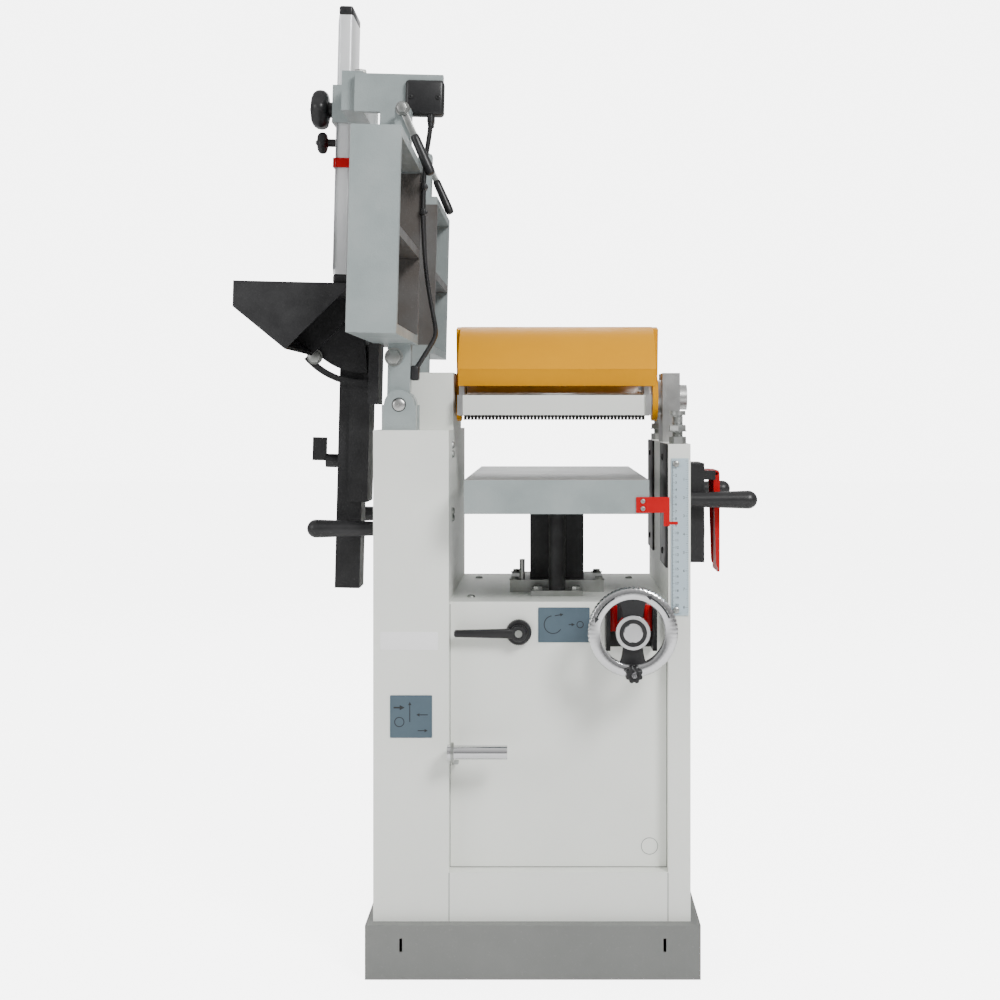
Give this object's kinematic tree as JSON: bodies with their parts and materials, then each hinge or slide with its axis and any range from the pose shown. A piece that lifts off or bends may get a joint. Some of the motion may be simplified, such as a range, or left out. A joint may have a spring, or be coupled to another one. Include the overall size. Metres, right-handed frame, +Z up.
{
  "type": "planer thicknesser",
  "caption": "Combination planer thicknesser on a sheet steel cabinet, with folding planing tables, a tilting fence, a bridge guard, a turning chip hood and a rising thicknesser table",
  "frame": {"origin": "on the floor, at the centre of the four floor bolts of the plinth", "axes": "+Z up, +Y along the feed, +X to the right as seen from the infeed end"},
  "size_m": [0.697, 0.91, 1.3892],
  "materials": {
    "cabinet_paint": "satin",
    "plinth_paint": "satin",
    "table_iron": "painted",
    "steel": "machined",
    "chrome": "polished",
    "alloy": "brushed",
    "black_paint": "textured",
    "black_plastic": "grained",
    "rubber": "matt",
    "yellow_paint": "gloss",
    "red": "gloss",
    "red_plastic": "gloss",
    "green_plastic": "gloss"
  },
  "bodies": {
    "frame": {"plinth": "plinth_paint", "left_column": "cabinet_paint", "right_column": "cabinet_paint", "front_panel": "cabinet_paint", "rear_panel": "cabinet_paint", "deck": "cabinet_paint", "deck_plates": "steel", "drive_housing": "cabinet_paint", "hinge_ears": "table_iron", "hinge_pins": "steel", "bearing_block": "steel", "roller_frames": "steel", "cutter_bearings": "steel", "apron_bar": "cabinet_paint", "finger_rod": "steel", "motor": "alloy", "motor_bracket": "plinth_paint", "drive_belt": "rubber", "carry_handles": "black_plastic", "stop_studs": "steel", "switch_box": "black_plastic", "rule": "steel", "wheel_bracket": "black_paint"},
    "cutter": {"cutterblock": "steel", "cutter_pulley": "steel"},
    "rotor": {"motor_pulley": "steel"},
    "infeed_roll": {"infeed_roller": "steel"},
    "outfeed_roll": {"outfeed_roller": "steel"},
    "finger_set": {"fingers": "steel"},
    "hood": {"hood": "yellow_paint", "hood_arms": "yellow_paint", "dust_spout": "black_plastic"},
    "bed": {"thickness_table": "table_iron", "lift_column": "black_paint", "lift_screw": "black_paint", "pointer": "red"},
    "nut": {"lift_nut": "steel"},
    "wheel": {"handwheel": "chrome"},
    "wheel_grip": {"wheel_knob": "black_plastic"},
    "clamp": {"clamp_lever": "black_plastic"},
    "feed": {"feed_lever": "chrome"},
    "paddle": {"stop_paddle": "red_plastic"},
    "button": {"start_button": "green_plastic"},
    "infeed": {"infeed_table": "table_iron", "infeed_hinge": "table_iron", "fence_guide": "black_paint", "guard_arm": "table_iron", "guard_block": "table_iron", "guard_clip": "red", "cables": "rubber"},
    "outfeed": {"outfeed_table": "table_iron", "outfeed_hinge": "table_iron"},
    "infeed_lock": {"infeed_lock": "black_plastic"},
    "outfeed_lock": {"outfeed_lock": "black_plastic"},
    "fence_slide": {"fence_bar": "black_paint", "fence_bracket": "black_paint"},
    "fence": {"fence": "black_paint"},
    "fence_knob": {"fence_knob": "black_plastic"},
    "guard_bar": {"guard_bar": "alloy"},
    "guard_knob": {"guard_knob": "black_plastic"}
  },
  "joints": [
    {"name": "cutter_spin", "type": "hinge", "parent": "frame", "child": "cutter", "pos_m": [0.03, 0, 0.805], "axis": [1, 0, 0], "continuous": true},
    {"name": "motor_spin", "type": "hinge", "parent": "frame", "child": "rotor", "pos_m": [-0.14, 0, 0.22], "axis": [1, 0, 0], "continuous": true},
    {"name": "infeed_roller_spin", "type": "hinge", "parent": "frame", "child": "infeed_roll", "pos_m": [0.03, -0.062, 0.7925], "axis": [1, 0, 0], "continuous": true},
    {"name": "outfeed_roller_spin", "type": "hinge", "parent": "frame", "child": "outfeed_roll", "pos_m": [0.03, 0.062, 0.7925], "axis": [1, 0, 0], "continuous": true},
    {"name": "finger_swing", "type": "hinge", "parent": "frame", "child": "finger_set", "pos_m": [0.03, -0.098, 0.789], "axis": [1, 0, 0], "range_deg": [0, 25]},
    {"name": "infeed_fold", "type": "hinge", "parent": "frame", "child": "infeed", "pos_m": [-0.187, -0.16, 0.7925], "axis": [0, 1, 0], "range_deg": [0, 88.6]},
    {"name": "outfeed_fold", "type": "hinge", "parent": "frame", "child": "outfeed", "pos_m": [-0.187, 0.16, 0.7925], "axis": [0, 1, 0], "range_deg": [0, 88.6]},
    {"name": "hood_flip", "type": "hinge", "parent": "frame", "child": "hood", "pos_m": [0.03, 0, 0.805], "axis": [-1, 0, 0], "range_deg": [0, 198]},
    {"name": "wheel_turn", "type": "hinge", "parent": "frame", "child": "wheel", "pos_m": [0.1355, -0.25, 0.485], "axis": [0, 1, 0], "range_deg": [-7200, 6300]},
    {"name": "table_lift", "type": "slide", "parent": "frame", "child": "bed", "axis": [0, 0, -1], "range_m": [-0.0801, 0.0701]},
    {"name": "nut_turn", "type": "hinge", "parent": "frame", "child": "nut", "pos_m": [0.034, -0.095, 0.48], "axis": [0, 0, 1], "range_deg": [-7201, 6301]},
    {"name": "wheel_knob_spin", "type": "hinge", "parent": "wheel", "child": "wheel_grip", "pos_m": [0.1355, -0.28, 0.433], "axis": [0, 1, 0], "continuous": true},
    {"name": "clamp_turn", "type": "hinge", "parent": "frame", "child": "clamp", "pos_m": [-0.02, -0.175, 0.474], "axis": [0, 1, 0], "range_deg": [-30, 45]},
    {"name": "feed_swing", "type": "hinge", "parent": "frame", "child": "feed", "pos_m": [-0.112, -0.187, 0.3], "axis": [1, 0, 0], "range_deg": [-15, 20]},
    {"name": "paddle_swing", "type": "hinge", "parent": "frame", "child": "paddle", "pos_m": [0.255, -0.087, 0.692], "axis": [0, -1, 0], "range_deg": [0, 60]},
    {"name": "start_press", "type": "slide", "parent": "frame", "child": "button", "axis": [-1, 0, 0], "range_m": [0, 0.003], "stiffness_N_per_m": 600},
    {"name": "infeed_lock_turn", "type": "hinge", "parent": "infeed", "child": "infeed_lock", "pos_m": [-0.18048, -0.203, 1.20246], "axis": [0, 1, 0], "range_deg": [-25, 0]},
    {"name": "outfeed_lock_turn", "type": "hinge", "parent": "outfeed", "child": "outfeed_lock", "pos_m": [-0.18048, 0.203, 1.20246], "axis": [0, 1, 0], "range_deg": [-25, 0]},
    {"name": "fence_cross", "type": "slide", "parent": "infeed", "child": "fence_slide", "axis": [-0.0244, 0, -0.9997], "range_m": [-0.018, 0.06]},
    {"name": "fence_tilt", "type": "hinge", "parent": "fence_slide", "child": "fence", "pos_m": [-0.24561, -0.115, 0.93197], "axis": [0, -1, 0], "range_deg": [0, 45]},
    {"name": "fence_knob_turn", "type": "hinge", "parent": "fence_slide", "child": "fence_knob", "pos_m": [-0.28502, -0.075, 0.71087], "axis": [-0.9997, 0, 0.0244], "range_deg": [0, 90]},
    {"name": "guard_reach", "type": "slide", "parent": "infeed", "child": "guard_bar", "axis": [0.0244, 0, 0.9997], "range_m": [0, 0.12]},
    {"name": "guard_knob_turn", "type": "hinge", "parent": "infeed", "child": "guard_knob", "pos_m": [-0.29407, 0, 1.24125], "axis": [-0.9997, 0, 0.0244], "continuous": true}
  ],
  "couplings": [
    {"joint": "motor_spin", "follows": "cutter_spin", "ratio": 0.62222},
    {"joint": "outfeed_roller_spin", "follows": "infeed_roller_spin", "ratio": 1},
    {"joint": "outfeed_fold", "follows": "infeed_fold", "ratio": 1},
    {"joint": "hood_flip", "follows": "infeed_fold", "ratio": 2.2347},
    {"joint": "table_lift", "follows": "wheel_turn", "m_per_rad": 0.00063662},
    {"joint": "nut_turn", "follows": "wheel_turn", "ratio": 1}
  ]
}
